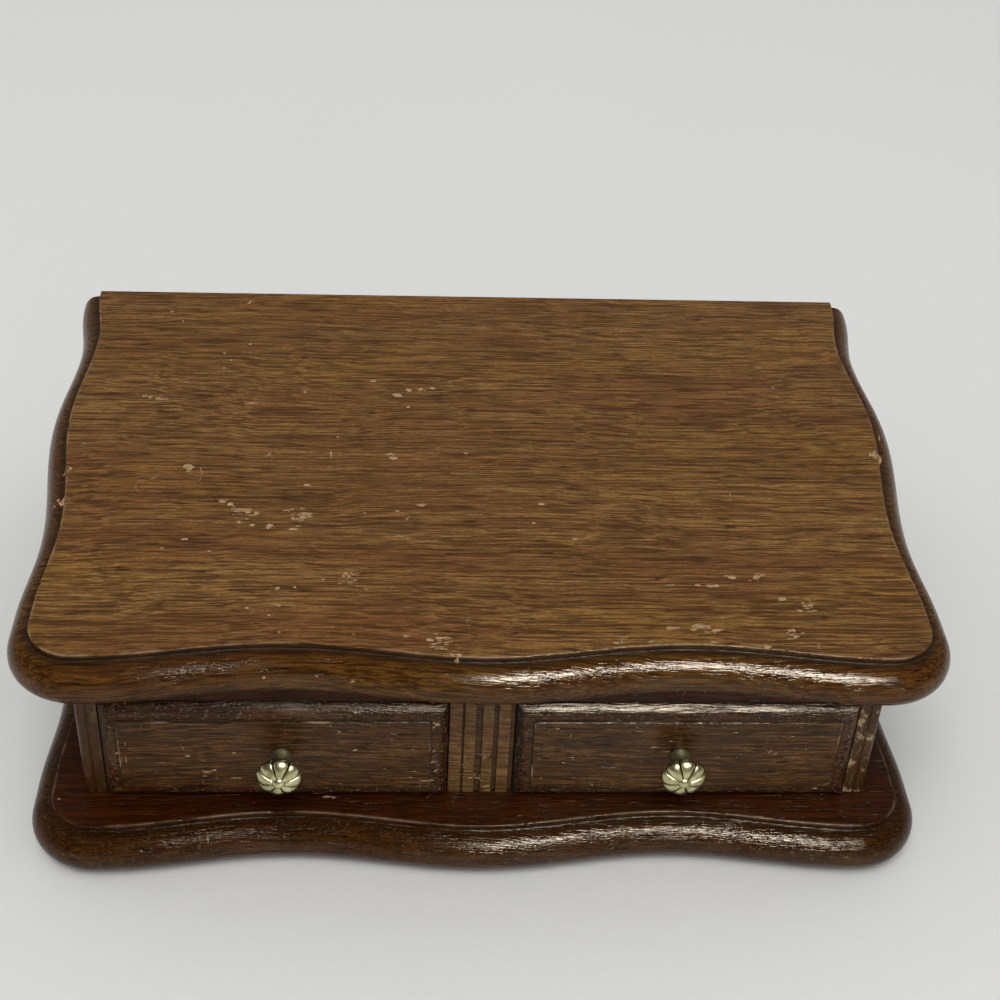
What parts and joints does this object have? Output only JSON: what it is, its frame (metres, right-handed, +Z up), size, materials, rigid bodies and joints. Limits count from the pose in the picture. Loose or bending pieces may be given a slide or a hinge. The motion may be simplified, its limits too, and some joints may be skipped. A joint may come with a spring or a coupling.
{
  "type": "vanity box with mirror",
  "caption": "Low serpentine wooden vanity box with a mirror under its hinged lid, reeded centre stile and drawers with lobed knobs.",
  "frame": {"origin": "on the ground under the middle of the box, hinge lugs included", "axes": "+X to the right seen from the front, +Y towards the hinges at the back, +Z up"},
  "size_m": [0.275, 0.2066, 0.079],
  "materials": {
    "walnut_lid": "worn satin varnish over dark stain",
    "walnut_base": "satin varnish over dark red-brown stain",
    "walnut": "satin varnish over dark stain",
    "walnut_drawer": "satin varnish over dark stain",
    "drawer_wood": "bare planed wood",
    "brass": "lightly aged",
    "knob_brass": "pale antique brass, dark in the grooves",
    "steel": "zinc plated",
    "velvet": "velvet pile",
    "felt": "wool felt",
    "mirror": "silvered glass",
    "card": "plain card"
  },
  "bodies": {
    "case": {"base_felt": "felt", "base_board": "walnut_base", "base_screws": "steel", "side_left": "walnut", "side_right": "walnut", "back_board": "walnut", "front_rail": "walnut", "centre_stile": "walnut", "partition": "drawer_wood", "guide_left": "drawer_wood", "guide_right": "drawer_wood", "tray_floor": "drawer_wood", "tray_front": "walnut", "tray_lining": "velvet", "divider_long": "velvet", "divider_cross": "velvet", "ring_rolls": "velvet", "hinge_left_case_leaf": "brass", "hinge_right_case_leaf": "brass", "hinge_left_pin": "brass", "hinge_right_pin": "brass", "hinge_case_screws": "brass"},
    "lid": {"lid_board": "walnut_lid", "mirror_glass": "mirror", "mirror_card": "card", "mirror_frame_front": "walnut", "mirror_frame_back": "walnut", "mirror_frame_left": "walnut", "mirror_frame_right": "walnut", "hinge_left_lid_leaf": "brass", "hinge_right_lid_leaf": "brass", "hinge_lid_screws": "brass"},
    "drawer_left": {"drawer_left_front": "walnut_drawer", "drawer_left_outer_side": "drawer_wood", "drawer_left_inner_side": "drawer_wood", "drawer_left_back": "drawer_wood", "drawer_left_bottom": "drawer_wood", "drawer_left_velvet": "velvet", "drawer_left_knob": "knob_brass", "drawer_left_knob_screw": "steel"},
    "drawer_right": {"drawer_right_front": "walnut_drawer", "drawer_right_outer_side": "drawer_wood", "drawer_right_inner_side": "drawer_wood", "drawer_right_back": "drawer_wood", "drawer_right_bottom": "drawer_wood", "drawer_right_velvet": "velvet", "drawer_right_knob": "knob_brass", "drawer_right_knob_screw": "steel"}
  },
  "joints": [
    {"name": "lid_hinge", "type": "hinge", "parent": "case", "child": "lid", "pos_m": [0, 0.09977, 0.064], "axis": [-1, 0, 0], "range_deg": [0, 98]},
    {"name": "drawer_left_slide", "type": "slide", "parent": "case", "child": "drawer_left", "axis": [0, -1, 0], "range_m": [0, 0.11]},
    {"name": "drawer_right_slide", "type": "slide", "parent": "case", "child": "drawer_right", "axis": [0, -1, 0], "range_m": [0, 0.11]}
  ]
}
